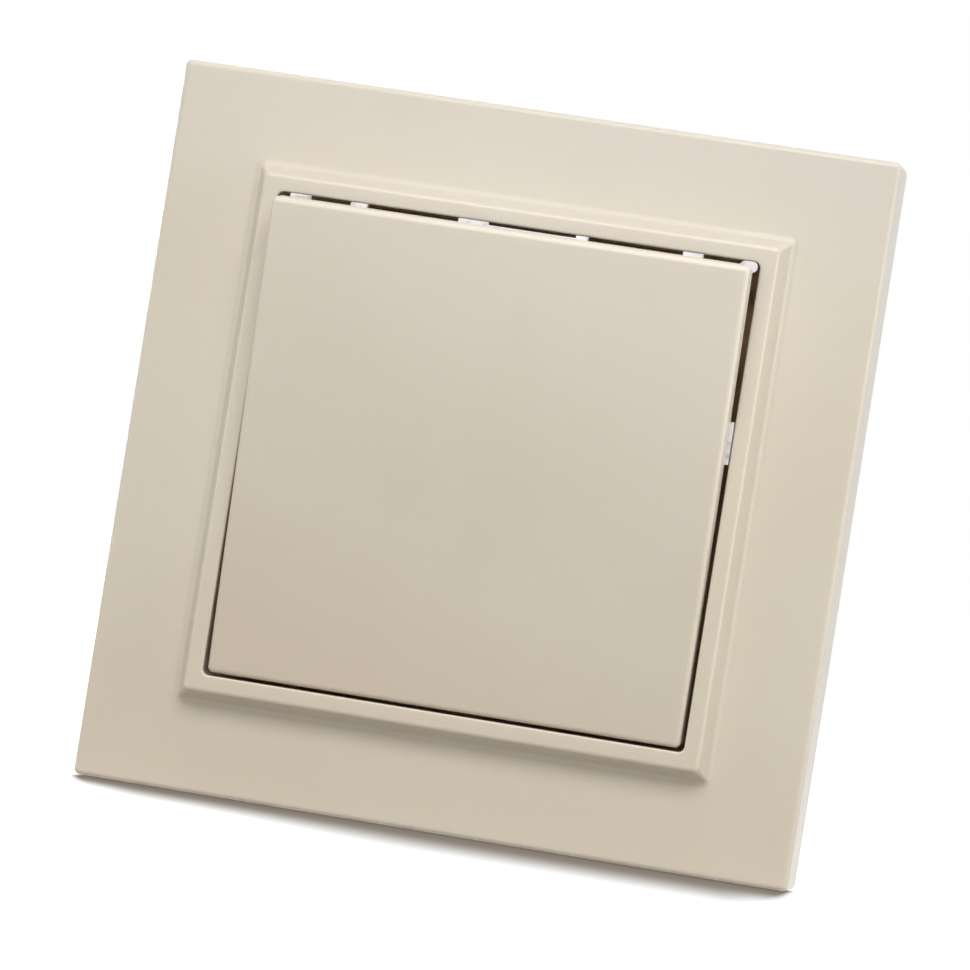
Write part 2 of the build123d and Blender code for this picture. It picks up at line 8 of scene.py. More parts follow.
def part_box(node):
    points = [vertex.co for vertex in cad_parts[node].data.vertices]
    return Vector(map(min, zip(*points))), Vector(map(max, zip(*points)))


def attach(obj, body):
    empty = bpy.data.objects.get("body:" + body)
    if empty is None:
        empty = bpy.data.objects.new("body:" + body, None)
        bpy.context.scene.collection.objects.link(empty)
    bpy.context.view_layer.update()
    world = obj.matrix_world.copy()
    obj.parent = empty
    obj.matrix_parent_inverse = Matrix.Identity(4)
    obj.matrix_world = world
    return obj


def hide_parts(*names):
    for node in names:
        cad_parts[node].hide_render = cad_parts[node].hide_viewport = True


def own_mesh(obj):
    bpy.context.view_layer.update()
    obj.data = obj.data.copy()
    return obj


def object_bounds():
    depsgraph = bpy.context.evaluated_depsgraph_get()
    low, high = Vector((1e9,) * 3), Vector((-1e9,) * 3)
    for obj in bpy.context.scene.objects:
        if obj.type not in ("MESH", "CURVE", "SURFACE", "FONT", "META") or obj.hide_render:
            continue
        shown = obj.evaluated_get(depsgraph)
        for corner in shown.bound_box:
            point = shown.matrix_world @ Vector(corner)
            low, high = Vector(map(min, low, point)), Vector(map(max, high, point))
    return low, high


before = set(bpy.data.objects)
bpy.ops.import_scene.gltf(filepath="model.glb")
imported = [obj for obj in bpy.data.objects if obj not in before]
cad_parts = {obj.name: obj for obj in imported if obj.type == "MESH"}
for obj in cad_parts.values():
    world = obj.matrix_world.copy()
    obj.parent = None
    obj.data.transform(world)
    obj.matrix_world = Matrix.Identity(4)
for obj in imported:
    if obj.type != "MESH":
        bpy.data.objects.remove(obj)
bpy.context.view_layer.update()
mm = 0.001


# A socket with arithmetic: each operator adds one Math node to the tree it came from
class Wire:
    def __init__(self, nodes, socket):
        self.nodes = nodes
        self.socket = socket

    def join(self, operation, first, second):
        return self.nodes.node("ShaderNodeMath", {"operation": operation}, {0: first, 1: second})

    def __add__(self, other):
        return self.join("ADD", self, other)

    def __radd__(self, other):
        return self.join("ADD", other, self)

    def __sub__(self, other):
        return self.join("SUBTRACT", self, other)

    def __rsub__(self, other):
        return self.join("SUBTRACT", other, self)

    def __mul__(self, other):
        return self.join("MULTIPLY", self, other)

    def __rmul__(self, other):
        return self.join("MULTIPLY", other, self)

    def __truediv__(self, other):
        return self.join("DIVIDE", self, other)

    def __rtruediv__(self, other):
        return self.join("DIVIDE", other, self)

    def __abs__(self):
        return self.join("ABSOLUTE", self, 0.0)

    def atLeast(self, low):
        return self.join("MAXIMUM", self, low)


# A node tree under construction, with one method for every kind of node
class Nodes:
    def __init__(self, tree):
        self.tree = tree

    def node(self, kind, settings=None, values=None, out=0):
        made = self.tree.nodes.new(kind)
        for key, value in (settings or {}).items():
            setattr(made, key, value)
        for key, value in (values or {}).items():
            self.feed(made.inputs[key], value)
        return Wire(self, made.outputs[out])

    def feed(self, socket, value):
        if isinstance(value, Wire):
            self.tree.links.new(value.socket, socket)
        else:
            socket.default_value = value

    # all the outputs of a node, by name
    def outlets(self, kind, values=None):
        made = self.node(kind, values=values).socket.node
        return {socket.name: Wire(self, socket) for socket in made.outputs}


# A material: constants go on its shader's own sockets, and what varies is linked to them
class Finish(Nodes):
    def __init__(self, name, **constants):
        self.material = bpy.data.materials.new(name)
        self.material.use_nodes = True
        super().__init__(self.material.node_tree)
        self.shader = self.tree.nodes["Principled BSDF"]
        self.wear(**constants)

    def wear(self, **values):
        for socket, value in values.items():
            self.feed(self.shader.inputs[socket.replace("_", " ")], value)

    def coords(self, scale=(1, 1, 1)):
        place = self.node("ShaderNodeTexCoord", out="Object")
        return self.node("ShaderNodeMapping", values={"Vector": place, "Scale": scale})

    def axes(self, where):
        return list(self.outlets("ShaderNodeSeparateXYZ", {0: where}).values())

    def noise(self, where, scale, detail=2.0, roughness=0.5):
        values = {"Vector": where, "Scale": scale, "Detail": detail, "Roughness": roughness}
        return self.node("ShaderNodeTexNoise", values=values)

    def span(self, value, low, high, toLow=0.0, toHigh=1.0):
        values = {"Value": value, "From Min": low, "From Max": high, "To Min": toLow, "To Max": toHigh}
        return self.node("ShaderNodeMapRange", {"interpolation_type": "SMOOTHSTEP"}, values)

    # soft patches: noise that goes from none to full between two of its values
    def patches(self, where, scale, low, high, detail=4.0, roughness=0.6):
        return self.span(self.noise(where, scale, detail, roughness), low, high)

    def blend(self, mask, first, second):
        values = {"Factor": mask, 6: first, 7: second}
        return self.node("ShaderNodeMix", {"data_type": "RGBA"}, values, out=2)

    def bump(self, height, strength, distance):
        values = {"Height": height, "Strength": strength, "Distance": distance}
        self.wear(Normal=self.node("ShaderNodeBump", values=values))


noiseMiddle = 0.5

# Moulded cream plastic: two close creams in wide soft clouds, with painted shade making it darker and warmer
# towards the lower left and a painted sheen making it paler towards the upper right, with a fine spark-eroded
# grain and faint hand marks. Light sinks in a little way.
# In this and the other looks, patches are (scale, from, to) and may add detail and roughness.
creamLooks = {
    "frameCream": {
        "cream": (0.655, 0.598, 0.496, 1), "warmer": (0.640, 0.578, 0.472, 1), "marks": 0.0105,
        # these two rows: painted shade low on the face and painted sheen high on it
        "aged": (0.626, 0.556, 0.452, 1), "paintedShadeFrom": -40.0, "paintedShadeTo": -8.0, "lean": 0.05,
        "pale": (0.622, 0.571, 0.497, 1), "paintedSheenFrom": 18.0, "paintedSheenTo": 45.0,
    },
    "keyCream": {
        "cream": (0.645, 0.587, 0.486, 1), "warmer": (0.629, 0.568, 0.463, 1), "marks": 0.035,
        # these two rows: painted shade low on the face and painted sheen high on it
        "aged": (0.617, 0.534, 0.429, 1), "paintedShadeFrom": -30.0, "paintedShadeTo": -8.0, "lean": 0.35,
        "pale": (0.706, 0.647, 0.559, 1), "paintedSheenFrom": -6.0, "paintedSheenTo": 30.0,
    },
}
creamGrain = {
    "cloudPatches": (42.0, 0.35, 0.65, 3.0, 0.5),
    "markPatches": (95.0, 0.55, 0.75), "marked": (0.42, 0.378, 0.307, 1),
    "grainScale": 5200.0, "height": 0.006 * mm, "strength": 0.22, "rough": 0.30, "roughSpread": 0.05,
    "depth": 0.9 * mm, "depthShare": 0.7, "depthColour": (1.0, 0.8, 0.55), "index": 1.49, "gloss": 0.5,
}


def creamPlastic(name):
    look, mould = creamLooks[name], creamGrain
    finish = Finish(name, IOR=mould["index"], Specular_IOR_Level=mould["gloss"],
                    Subsurface_Weight=mould["depthShare"], Subsurface_Radius=mould["depthColour"],
                    Subsurface_Scale=mould["depth"])
    where = finish.coords()
    tone = finish.blend(finish.patches(where, *mould["cloudPatches"]), look["cream"], look["warmer"])
    # the way up the face in millimetres, leaning to the right
    x, _, z = finish.axes(where)
    climb = (z + x * look["lean"]) / mm
    # painted shade: the colour darkens and warms low on the face
    tone = finish.blend(finish.span(climb, look["paintedShadeFrom"], look["paintedShadeTo"], 1.0, 0.0), tone, look["aged"])
    # painted sheen: the colour pales high on the face, leaning to the right
    tone = finish.blend(finish.span(climb, look["paintedSheenFrom"], look["paintedSheenTo"]), tone, look["pale"])
    smear = finish.patches(where, *mould["markPatches"])
    grain = finish.noise(where, mould["grainScale"])
    finish.wear(Base_Color=finish.blend(smear * look["marks"], tone, mould["marked"]))
    finish.wear(Roughness=mould["rough"] + (grain - noiseMiddle + smear) * mould["roughSpread"])
    finish.bump(grain, mould["strength"], mould["height"])
    return finish.material


# White tray: clouded white with patches of dust
whiteLook = {
    "white": (0.80, 0.78, 0.81, 1), "shadow": (0.72, 0.70, 0.73, 1),
    "cloudPatches": (70.0, 0.35, 0.7, 3.0, 0.5),
    "dust": (0.36, 0.32, 0.29, 1), "dustPatches": (620.0, 0.5, 0.66), "dusting": 0.6,
    "rough": 0.42, "roughGrain": 0.08, "roughDust": 0.2,
    "grainScale": 3800.0, "strength": 0.2, "height": 0.006 * mm, "index": 1.5,
}


def whitePlastic():
    look = whiteLook
    finish = Finish("whitePlastic", IOR=look["index"])
    where = finish.coords()
    grain = finish.noise(where, look["grainScale"])
    dust = finish.patches(where, *look["dustPatches"]) * look["dusting"]
    tone = finish.blend(finish.patches(where, *look["cloudPatches"]), look["white"], look["shadow"])
    finish.wear(Base_Color=finish.blend(dust, tone, look["dust"]))
    spread = (grain - noiseMiddle) * look["roughGrain"]
    finish.wear(Roughness=look["rough"] + spread + dust * look["roughDust"])
    finish.bump(grain, look["strength"], look["height"])
    return finish.material


# Light grey moulded housing: mineral-filled, so it has a speckle and flow clouds
greyLook = {
    "grey": (0.50, 0.50, 0.485, 1), "flow": (0.43, 0.43, 0.415, 1), "speck": (0.33, 0.33, 0.32, 1),
    "flowStretch": (1, 1, 0.35), "flowPatches": (55.0, 0.35, 0.7),
    "speckPatches": (2600.0, 0.62, 0.72, 1.0, 0.5), "specking": 0.45,
    "rough": 0.52, "roughSpeck": 0.1, "roughFlow": 0.05,
    "grainScale": 2600.0, "strength": 0.25, "height": 0.01 * mm, "index": 1.5,
}


def greyPlastic():
    look = greyLook
    finish = Finish("greyPlastic", IOR=look["index"])
    where = finish.coords()
    flow = finish.patches(finish.coords(look["flowStretch"]), *look["flowPatches"])
    speck = finish.patches(where, *look["speckPatches"])
    tone = finish.blend(flow, look["grey"], look["flow"])
    finish.wear(Base_Color=finish.blend(speck * look["specking"], tone, look["speck"]))
    finish.wear(Roughness=look["rough"] + speck * look["roughSpeck"] + flow * look["roughFlow"])
    finish.bump(finish.noise(where, look["grainScale"]), look["strength"], look["height"])
    return finish.material


# Brown moulded carrier, dusty and seen only deep in the gap, and the black plunger, rubbed where it slides
darkLooks = {
    "brownPlastic": {
        "plain": (0.44, 0.255, 0.125, 1), "worn": (0.50, 0.33, 0.19, 1), "wornPatches": (160.0, 0.45, 0.75),
        "rough": 0.55, "roughWorn": 0.15, "grainScale": 2800.0,
    },
    "blackPlastic": {
        "plain": (0.022, 0.022, 0.024, 1), "worn": (0.05, 0.05, 0.052, 1),
        "wornPatches": (240.0, 0.5, 0.75, 4.0, 0.65),
        "rough": 0.38, "roughWorn": 0.14, "grainScale": 3000.0,
    },
}
darkGrain = {"strength": 0.25, "height": 0.008 * mm, "index": 1.5}


def darkPlastic(name):
    look, mould = darkLooks[name], darkGrain
    finish = Finish(name, IOR=mould["index"])
    where = finish.coords()
    worn = finish.patches(where, *look["wornPatches"])
    finish.wear(Base_Color=finish.blend(worn, look["plain"], look["worn"]))
    finish.wear(Roughness=look["rough"] + worn * look["roughWorn"])
    finish.bump(finish.noise(where, look["grainScale"]), mould["strength"], mould["height"])
    return finish.material


# Plated, rolled or drawn metal: streaks along one direction, a mottled plating and slight waviness
metalLooks = {
    "zincSteel": {"bright": (0.66, 0.67, 0.69, 1), "dull": (0.50, 0.52, 0.54, 1), "rough": 0.30,
                  "streak": (900, 900, 70), "mottle": 260.0, "height": 0.006 * mm},
    "springSteel": {"bright": (0.58, 0.58, 0.59, 1), "dull": (0.42, 0.42, 0.43, 1), "rough": 0.26,
                    "streak": (1500, 1500, 300), "mottle": 500.0, "height": 0.003 * mm},
    "rolledBrass": {"bright": (0.78, 0.56, 0.24, 1), "dull": (0.60, 0.40, 0.15, 1), "rough": 0.28,
                    "streak": (1100, 1100, 80), "mottle": 180.0, "height": 0.004 * mm},
    "contactSilver": {"bright": (0.86, 0.85, 0.82, 1), "dull": (0.66, 0.63, 0.57, 1), "rough": 0.24,
                      "streak": (700, 700, 700), "mottle": 900.0, "height": 0.003 * mm},
}
metalGrain = {
    "streakNoise": (1.0, 3.0, 0.6), "mottleRange": (0.35, 0.7), "dullMottle": 0.6, "dullStreak": 0.3,
    "roughStreak": 0.22, "roughMottle": 0.08, "raisedMottle": 0.3, "strength": 0.3,
}


def metalFinish(name):
    look, grain = metalLooks[name], metalGrain
    finish = Finish(name, Metallic=1.0)
    streak = finish.noise(finish.coords(look["streak"]), *grain["streakNoise"])
    mottle = finish.patches(finish.coords(), look["mottle"], *grain["mottleRange"])
    dullness = mottle * grain["dullMottle"] + streak * grain["dullStreak"]
    finish.wear(Base_Color=finish.blend(dullness, look["bright"], look["dull"]))
    spread = (streak - noiseMiddle) * grain["roughStreak"]
    finish.wear(Roughness=look["rough"] + spread + mottle * grain["roughMottle"])
    finish.bump(streak + mottle * grain["raisedMottle"], grain["strength"], look["height"])
    return finish.material


finishes = {
    **{name: creamPlastic(name) for name in creamLooks},
    "whitePlastic": whitePlastic(), "greyPlastic": greyPlastic(),
    **{name: darkPlastic(name) for name in darkLooks},
    **{name: metalFinish(name) for name in metalLooks},
}
print("finishes ready:", ", ".join(finishes))


# Local places: rows are the local x, y and z directions, z pointing out of the piece towards the room
def turned(degrees):
    c, s = math.cos(math.radians(degrees)), math.sin(math.radians(degrees))
    return np.array([(1, 0, 0), (0, -s, c), (0, -c, -s)])


wallAxes = turned(0)
upAxes = np.array([(1, 0, 0), (0, 1, 0), (0, 0, 1)])
downAxes = np.array([(1, 0, 0), (0, -1, 0), (0, 0, -1)])


# Local axes turned by quarter turns about the out direction, as rows
def quarterTurn(turn):
    c, s = round(math.cos(turn * math.pi / 2)), round(math.sin(turn * math.pi / 2))
    return np.array([(c, s, 0), (-s, c, 0), (0, 0, 1)])


def placed(points, axes, origin=(0, 0, 0)):
    return np.asarray(points, float) @ axes + np.asarray(origin, float)


# Faces of a rows x cols grid that closes round its columns, and of equal grids that follow it:
# quads between neighbours, and a flat cap on each end row unless the rows close round as well
def gridFaces(rows, cols, wrapRows=False, copies=1):
    i, j = np.meshgrid(np.arange(rows - (not wrapRows)), np.arange(cols), indexing="ij")
    i, j = i.ravel(), j.ravel()
    iNext, jNext = (i + 1) % rows, (j + 1) % cols
    quads = np.stack([i * cols + j, i * cols + jNext, iNext * cols + jNext, iNext * cols + j], 1)
    caps = np.array([[0], [(rows - 1) * cols]]) + np.arange(cols)
    first = np.arange(copies)[:, None, None] * rows * cols
    faces = (quads + first).reshape(-1, 4).tolist()
    return faces if wrapRows else faces + (caps + first).reshape(-1, cols).tolist()


# A grid of points as one closed mesh
def gridMesh(name, grid, wrapRows=False):
    rows, cols = grid.shape[:2]
    return rawMesh(name, grid.reshape(-1, 3), gridFaces(rows, cols, wrapRows))


mergeDistance = 1e-7


def rawMesh(name, points, faces):
    mesh = bpy.data.meshes.new(name)
    mesh.from_pydata((np.asarray(points) * mm).tolist(), [], faces)
    work = bmesh.new()
    work.from_mesh(mesh)
    bmesh.ops.remove_doubles(work, verts=work.verts, dist=mergeDistance)
    bmesh.ops.recalc_face_normals(work, faces=work.faces)
    work.to_mesh(mesh)
    work.free()
    piece = bpy.data.objects.new(name, mesh)
    bpy.context.scene.collection.objects.link(piece)
    return piece


arcSteps = {"perRoot": 8, "least": 3, "most": 10}
fineSupport = 0.06  # for small turned pieces


# A profile with its corners rounded: each corner (x, height, radius, extra) gives way to an arc that touches
# both its sides, with one more point a little along each side so that flat faces shade flat. Extra, which is
# a square's corner radius, grows and shrinks with x.
def roundedProfile(corners, closed, support=0.12):
    points = np.array([c[:2] for c in corners], float)
    radii = np.array([c[2] for c in corners], float)
    extras = np.array([c[3] for c in corners], float)
    rows = []
    for k, (corner, radius, extra) in enumerate(zip(points, radii, extras)):
        isEnd = not closed and k in (0, len(points) - 1)
        if isEnd or radius == 0:
            rows.append(np.array([[*corner, extra]]))
            continue
        before, after = points[k - 1] - corner, points[(k + 1) % len(points)] - corner
        before, after = before / np.linalg.norm(before), after / np.linalg.norm(after)
        half = math.acos(np.clip(before @ after, -1, 1)) / 2
        reach = radius / math.tan(half)
        start, end = corner + before * reach, corner + after * reach
        centre = corner + (before + after) / np.linalg.norm(before + after) * radius / math.sin(half)
        steps = int(np.clip(round(arcSteps["perRoot"] * radius ** 0.5), arcSteps["least"], arcSteps["most"]))
        t = np.linspace(0, 1, steps + 1)[:, None]
        sweep = math.pi - 2 * half
        spokes = (start - centre) * np.sin((1 - t) * sweep) + (end - centre) * np.sin(t * sweep)
        arc = centre + spokes / math.sin(sweep)
        arc = np.vstack([start + before * support, arc, end + after * support])
        rows.append(np.column_stack([arc, extra + arc[:, 0] - corner[0]]))
    return np.vstack(rows)


leastCorner = 0.05


# Rounded squares, one per profile row (half width, height, corner radius):
# a quarter turn of the corner radius about each of the four corner centres
def squareRings(profile, cornerSteps=8):
    half, height, corner = profile[:, :1], profile[:, 1:2], np.maximum(profile[:, 2:3], leastCorner)
    quarter = np.repeat(np.arange(4), cornerSteps + 1)
    angle = (quarter + np.tile(np.linspace(0, 1, cornerSteps + 1), 4)) * math.pi / 2
    middle = (quarter + 0.5) * math.pi / 2
    x = np.sign(np.cos(middle)) * (half - corner) + corner * np.cos(angle)
    y = np.sign(np.sin(middle)) * (half - corner) + corner * np.sin(angle)
    return np.stack([x, y, np.broadcast_to(height, x.shape)], 2)


# A profile (radius, height) turned round the local z axis
def turnedGrid(profile, steps=48):
    angle = np.linspace(0, 2 * math.pi, steps, endpoint=False)
    radius, height = profile[:, :1], profile[:, 1:2]
    x, y = radius * np.cos(angle), radius * np.sin(angle)
    return np.stack([x, y, np.broadcast_to(height, x.shape)], 2)


# Boxes given by their lowest and highest corners: the unit cube's corners spread between the two
def boxesMesh(name, lows, highs, axes, origin=(0, 0, 0)):
    lows, highs = np.asarray(lows, float), np.asarray(highs, float)
    unit = np.array([(0, 0, 0), (1, 0, 0), (1, 1, 0), (0, 1, 0), (0, 0, 1), (1, 0, 1), (1, 1, 1), (0, 1, 1)])
    sides = np.array([(0, 3, 2, 1), (4, 5, 6, 7), (0, 1, 5, 4), (1, 2, 6, 5), (2, 3, 7, 6), (3, 0, 4, 7)])
    points = lows[:, None] + unit[None] * (highs - lows)[:, None]
    faces = sides[None] + len(unit) * np.arange(len(lows))[:, None, None]
    return rawMesh(name, placed(points.reshape(-1, 3), axes, origin), faces.reshape(-1, 4).tolist())


# An outline in local x and z carried along local y between two places
def prismMesh(name, outline, low, high, axes, origin=(0, 0, 0)):
    outline = np.asarray(outline, float)
    ends = np.array([low, high], float)
    grid = np.empty((2, len(outline), 3))
    grid[:, :, 0], grid[:, :, 1], grid[:, :, 2] = outline[:, 0], ends[:, None], outline[:, 1]
    return gridMesh(name, placed(grid, axes, origin))


# Joins a tool to a piece or cuts it out of it, for good
def carve(piece, tool, operation):
    cut = piece.modifiers.new("carve", "BOOLEAN")
    cut.object, cut.operation, cut.solver = tool, operation, "EXACT"
    shape = piece.evaluated_get(bpy.context.evaluated_depsgraph_get())
    carved = bpy.data.meshes.new_from_object(shape)
    piece.modifiers.clear()
    piece.data = carved
    carved.name = piece.name
    bpy.data.objects.remove(tool)
    return piece


# Dresses a finished mesh: smooth faces with sharp creases, its finish, its body and the node it stands for
def dress(piece, node, body, finish, crease=32):
    piece.data.shade_smooth()
    piece.data.set_sharp_from_angle(angle=math.radians(crease))
    piece.data.materials.clear()
    piece.data.materials.append(finishes[finish])
    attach(piece, body)
    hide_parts(node)
    return piece


# Cover frame: its section (half width, out, rounding, corner radius) goes from the wall edge over face and
# rim, in through the opening, round the skirt and back along the hollow, and is carried round the square
coverFrame = {
    "half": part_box("cover_frame")[1].x / mm, "crestOut": -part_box("cover_frame")[0].y / mm,
    "faceOut": 8.5, "draft": 1.0, "corner": 0.75, "edgeRound": 0.6, "wall": 2.0, "lip": 0.15,
    "rimFoot": 30.34, "rimFootCorner": 0.5, "rimCrest": 29.24, "rimCrestCorner": 0.45, "cove": 0.95,
    "crestRound": 0.45, "opening": 27.41, "openingCorner": 0.7, "openingRound": 0.2,
    "skirtHalf": 29.41, "skirtCorner": 2.6, "skirtBack": 3.4,
    "ribHalf": 0.5, "ribPitch": 22.0, "ribBack": 2.2, "ribBite": 0.6,
    "pocketX": 15.0, "pocketHalf": 2.6, "pocketIn": 27.31,
    "pocketSteps": ((28.36, 3.2, 7.1), (28.76, 4.6, 5.6)),  # reach, back, front
}


def frameSection(c, ceiling, cavity):
    taper = math.tan(math.radians(c["draft"])) * c["faceOut"]
    return roundedProfile([
        (c["half"], 0.0, c["lip"], c["corner"]),
        (c["half"] - taper, c["faceOut"], c["edgeRound"], c["corner"] - taper),
        (c["rimFoot"], c["faceOut"], c["cove"], c["rimFootCorner"]),
        (c["rimCrest"], c["crestOut"], c["crestRound"], c["rimCrestCorner"]),
        (c["opening"], c["crestOut"], c["openingRound"], c["openingCorner"]),
        (c["opening"], c["skirtBack"], c["lip"], c["openingCorner"]),
        (c["skirtHalf"], c["skirtBack"], c["lip"], c["skirtCorner"]),
        (c["skirtHalf"], ceiling, c["lip"], c["skirtCorner"]),
        (cavity, ceiling, c["lip"], c["corner"] / 2),
        (cavity, 0.0, c["lip"], c["corner"] / 2),
    ], closed=True)


def makeCoverFrame():
    c = coverFrame
    ceiling, cavity = c["faceOut"] - c["wall"], c["half"] - c["wall"]
    grid = squareRings(frameSection(c, ceiling, cavity))
    piece = gridMesh("coverFrame", placed(grid, wallAxes), wrapRows=True)
    # stiffening ribs between skirt and outer wall, three on each side
    lows = [(x - c["ribHalf"], c["skirtHalf"] - c["ribBite"], c["ribBack"])
            for x in (-c["ribPitch"], 0, c["ribPitch"])]
    highs = [(x + c["ribHalf"], cavity + c["ribBite"], ceiling + c["ribBite"])
             for x in (-c["ribPitch"], 0, c["ribPitch"])]
    for turn in range(4):
        carve(piece, boxesMesh("ribs", lows, highs, quarterTurn(turn) @ wallAxes), "UNION")
    # pockets in the opening's wall for the latch fingers, two on each side, wider where the latch nose sits
    for turn in range(4):
        for reach, back, front in c["pocketSteps"]:
            lows = [(x - c["pocketHalf"], c["pocketIn"], back) for x in (-c["pocketX"], c["pocketX"])]
            highs = [(x + c["pocketHalf"], reach, front) for x in (-c["pocketX"], c["pocketX"])]
            carve(piece, boxesMesh("pockets", lows, highs, quarterTurn(turn) @ wallAxes), "DIFFERENCE")
    return dress(piece, "cover_frame", "base", "frameCream")


makeCoverFrame()
print("cover frame made")

# Rocker key: drafted plate with a rounded edge, an open skirt behind, two ribs and two snap legs
rockerKey = {
    "tilt": 6.0, "pivotOut": 11.7, "half": 26.95, "corner": 0.7, "draft": 1.0, "edgeRound": 0.6, "lip": 0.12,
    "face": 2.9, "under": 1.3, "skirtEnd": -0.2, "inner": 25.55, "innerCorner": 0.3, "flatIn": 6.0,
    "ribX": 20.0, "ribHalf": 0.5, "ribBack": -0.1, "bite": 0.5,
    "legIn": 6.0, "legWall": 1.2, "legHalf": 4.0, "legEnd": -2.6, "hookAt": -1.4, "hookNose": 0.6,
}
rockerAxes = turned(rockerKey["tilt"])
rockerOrigin = (0, -rockerKey["pivotOut"], 0)


def makeRockerKey():
    r = rockerKey
    taper = math.tan(math.radians(r["draft"])) * (r["face"] - r["skirtEnd"])
    section = roundedProfile([
        (r["half"] - r["flatIn"], r["face"], 0, r["corner"]),
        (r["half"] - taper, r["face"], r["edgeRound"], r["corner"] - taper),
        (r["half"], r["skirtEnd"], r["lip"], r["corner"]),
        (r["inner"], r["skirtEnd"], r["lip"], r["innerCorner"]),
        (r["inner"], r["under"], r["lip"], r["innerCorner"]),
        (r["inner"] - r["flatIn"], r["under"], 0, r["innerCorner"]),
    ], closed=False)
    piece = gridMesh("rockerKey", placed(squareRings(section), rockerAxes, rockerOrigin))
    root = r["under"] + r["bite"]
    lows = [(s * r["ribX"] - r["ribHalf"], -r["inner"] - r["bite"], r["ribBack"]) for s in (-1, 1)]
    highs = [(s * r["ribX"] + r["ribHalf"], r["inner"] + r["bite"], root) for s in (-1, 1)]
    carve(piece, boxesMesh("ribs", lows, highs, rockerAxes, rockerOrigin), "UNION")
    # each leg's outline lies in local y and out, carried along x; the hook faces the middle
    inside, outside = r["legIn"], r["legIn"] + r["legWall"]
    leg = np.array([(inside, root), (inside, r["hookAt"]), (inside - r["hookNose"], r["hookAt"]),
                    (inside, r["legEnd"]), (outside, r["legEnd"]), (outside, root)])
    sideways = np.array([(0, 1, 0), (1, 0, 0), (0, 0, 1)]) @ rockerAxes
    for side in (-1, 1):
        tool = prismMesh("leg", leg * (side, 1), -r["legHalf"], r["legHalf"], sideways, rockerOrigin)
        carve(piece, tool, "UNION")
    return dress(piece, "rocker_key", "rocker", "keyCream")


makeRockerKey()
print("rocker key made")

# Toggle spring: a round wire carried along an even helix about the barrel's axis
toggleSpring = {"wire": 0.3, "radius": 1.55, "turns": 4.0, "perTurn": 44, "sides": 14,
                "start": 3.9, "length": 3.8, "travel": 1.2}


def makeToggleSpring():
    s = toggleSpring
    turn = np.linspace(0, s["turns"], int(s["turns"] * s["perTurn"]))[:, None]
    angle = 2 * math.pi * turn
    depth = -(s["start"] + s["length"] * (turn / s["turns"]))
    across = np.linspace(0, 2 * math.pi, s["sides"], endpoint=False)[None]
    radius = s["radius"] + s["wire"] * np.cos(across)
    grid = np.stack([radius * np.cos(angle), radius * np.sin(angle), depth + s["wire"] * np.sin(across)], 2)
    piece = gridMesh("toggleSpring", placed(grid, rockerAxes, rockerOrigin))
    dress(piece, "toggle_spring", "rocker", "springSteel", crease=60)
    anchor = placed([[0, 0, -s["start"] + s["wire"]]], rockerAxes, rockerOrigin)[0] * mm
    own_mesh(piece)
    return piece


# Plunger: guided body, shoulder, neck and round tip, turned about the same axis
plunger = {"body": 2.05, "neck": 1.6, "top": -8.1, "shoulder": -13.7, "tipCentre": -18.04, "edge": 0.15,
           "capRadius": 0.3, "neckEnd": 0.2, "tipSteps": 12}


def makePlunger():
    p = plunger
    bend = np.linspace(0, math.pi / 2, p["tipSteps"])[:-1]
    tip = np.column_stack([p["neck"] * np.cos(bend), p["tipCentre"] - p["neck"] * np.sin(bend), 0 * bend])
    section = roundedProfile([
        (p["capRadius"], p["top"], 0, 0), (p["body"], p["top"], p["edge"], 0),
        (p["body"], p["shoulder"], p["edge"], 0), (p["neck"], p["shoulder"], p["edge"] / 2, 0),
        (p["neck"], p["tipCentre"] + p["neckEnd"], 0, 0),
    ], closed=False, support=fineSupport)
    grid = placed(turnedGrid(np.vstack([section, tip])[:, :2]), rockerAxes, rockerOrigin)
    return dress(gridMesh("plunger", grid), "plunger", "plunger", "blackPlastic")


makeToggleSpring()
makePlunger()
print("spring and plunger made")

# Screws: a helical thread, whose radius falls from crest to root in a triangle wave along the axis,
# and a slotted pan head
screws = {
    "claw": {"radius": 1.5, "pitch": 0.5, "depth": 0.27, "headRadius": 2.75, "head": 1.8, "slot": 0.7,
             "slotDepth": 0.8, "cross": True, "round": 0.5},
    "terminal": {"radius": 1.25, "pitch": 0.45, "depth": 0.24, "headRadius": 2.3, "head": 1.5, "slot": 0.7,
                 "slotDepth": 0.8, "cross": False, "round": 0.3},
}
thread = {"perTurn": 28, "perPitch": 6, "pointPitch": 0.6, "pointStart": 0.65, "pointGrowth": 0.35,
          "steep": 1.25, "crest": 0.1}
panHead = {"capRadius": 0.4, "lean": 0.2, "lowRound": 0.08, "slotPast": 0.5}


def threadGrid(s, length):
    t = thread
    height = np.linspace(-length, 0, int(length / s["pitch"] * t["perPitch"]))[:, None]
    angle = np.linspace(0, 2 * math.pi, t["perTurn"], endpoint=False)[None]
    phase = (height / s["pitch"] - angle / (2 * math.pi)) % 1
    wave = np.abs(2 * phase - 1)
    fromEnd = np.clip((height + length) / (t["pointPitch"] * s["pitch"]), 0, 1)
    point = fromEnd * t["pointGrowth"] + t["pointStart"]
    radius = (s["radius"] - s["depth"] * np.clip(t["steep"] * wave - t["crest"], 0, 1)) * point
    x, y = radius * np.cos(angle), radius * np.sin(angle)
    return np.stack([x, y, np.broadcast_to(height, x.shape)], 2)


